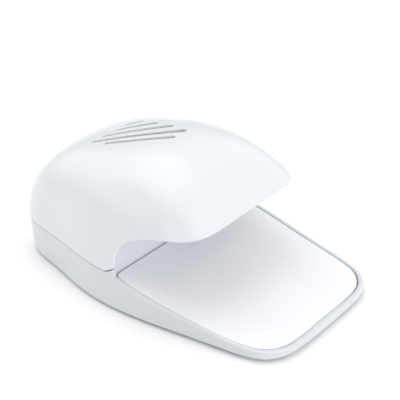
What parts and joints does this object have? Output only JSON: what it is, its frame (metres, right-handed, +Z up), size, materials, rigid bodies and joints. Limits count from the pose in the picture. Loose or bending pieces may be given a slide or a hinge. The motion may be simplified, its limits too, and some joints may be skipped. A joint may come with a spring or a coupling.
{
  "type": "nail polish fan dryer",
  "caption": "Palm-sized fan dryer: a domed, slotted hood over a sloping finger tray; pressing the hinged plate works a switch and a small fan blows from under the hood.",
  "frame": {"origin": "on the ground under the middle of the footprint", "axes": "+Z up; +Y towards the domed rear of the housing, so the open front lip of the tray faces -Y; +X to the right when looking along +Y"},
  "size_m": [0.0998, 0.1614, 0.068],
  "materials": {
    "white_shell": "smooth satin-gloss moulded white",
    "white_plate": "smooth satin-gloss moulded white",
    "white_panel": "satin moulded white",
    "fan_white": "satin moulded off-white",
    "grey_plastic": "matt moulded light grey",
    "ivory_plastic": "matt moulded ivory",
    "black_plastic": "matt black",
    "red_plastic": "matt red",
    "steel": "plated steel",
    "motor_can": "drawn and plated steel",
    "lamination": "stacked iron sheets",
    "magnet": "dull ferrite",
    "copper": "enamelled copper",
    "brass": "tinned brass",
    "cell_jacket": "plain printed-film jacket with a bare metal button",
    "lead_red": "soft insulation",
    "lead_black": "soft insulation",
    "rubber_foot": "matt pale rubber"
  },
  "bodies": {
    "housing": {"hood_shell": "white_shell", "base_shell": "white_shell", "outlet_panel": "white_panel", "fan_shroud": "grey_plastic", "shroud_screws": "steel", "motor_can": "motor_can", "motor_magnets": "magnet", "motor_end_cap": "ivory_plastic", "motor_terminals": "brass", "motor_mount": "grey_plastic", "motor_strap": "steel", "motor_screws": "steel", "battery_cell_front": "cell_jacket", "battery_cell_rear": "cell_jacket", "contact_positive": "steel", "contact_negative": "steel", "contact_jumper": "steel", "switch_body": "black_plastic", "switch_terminals": "brass", "plate_spring_left": "steel", "plate_spring_right": "steel", "lead_battery_to_switch": "lead_red", "lead_switch_to_motor": "lead_red", "lead_battery_to_motor": "lead_black", "housing_screws": "steel", "rubber_feet": "rubber_foot"},
    "press_plate": {"press_plate": "white_plate"},
    "fan_rotor": {"impeller": "fan_white", "motor_shaft": "steel", "motor_armature": "lamination", "motor_windings": "copper", "motor_commutator": "copper"},
    "battery_door": {"battery_door": "white_shell"},
    "switch_plunger": {"switch_plunger": "red_plastic"}
  },
  "joints": [
    {"name": "plate_hinge", "type": "hinge", "parent": "housing", "child": "press_plate", "pos_m": [0, -0.064, 0.0044], "axis": [-1, 0, 0], "range_deg": [0, 1.6], "stiffness_Nm_per_rad": 1, "springref_deg": -1.72, "deforming": ["plate_spring_left", "plate_spring_right"]},
    {"name": "fan_spin", "type": "hinge", "parent": "housing", "child": "fan_rotor", "pos_m": [0, 0.012, 0.04], "axis": [0, -1, 0], "continuous": true},
    {"name": "door_hinge", "type": "hinge", "parent": "housing", "child": "battery_door", "pos_m": [0, 0.0166, 0.0027], "axis": [-1, 0, 0], "range_deg": [0, 80]},
    {"name": "plunger_slide", "type": "slide", "parent": "housing", "child": "switch_plunger", "axis": [0, 0, -1], "range_m": [0, 0.0013]}
  ],
  "couplings": [
    {"joint": "plunger_slide", "follows": "plate_hinge", "m_per_rad": 0.046}
  ]
}
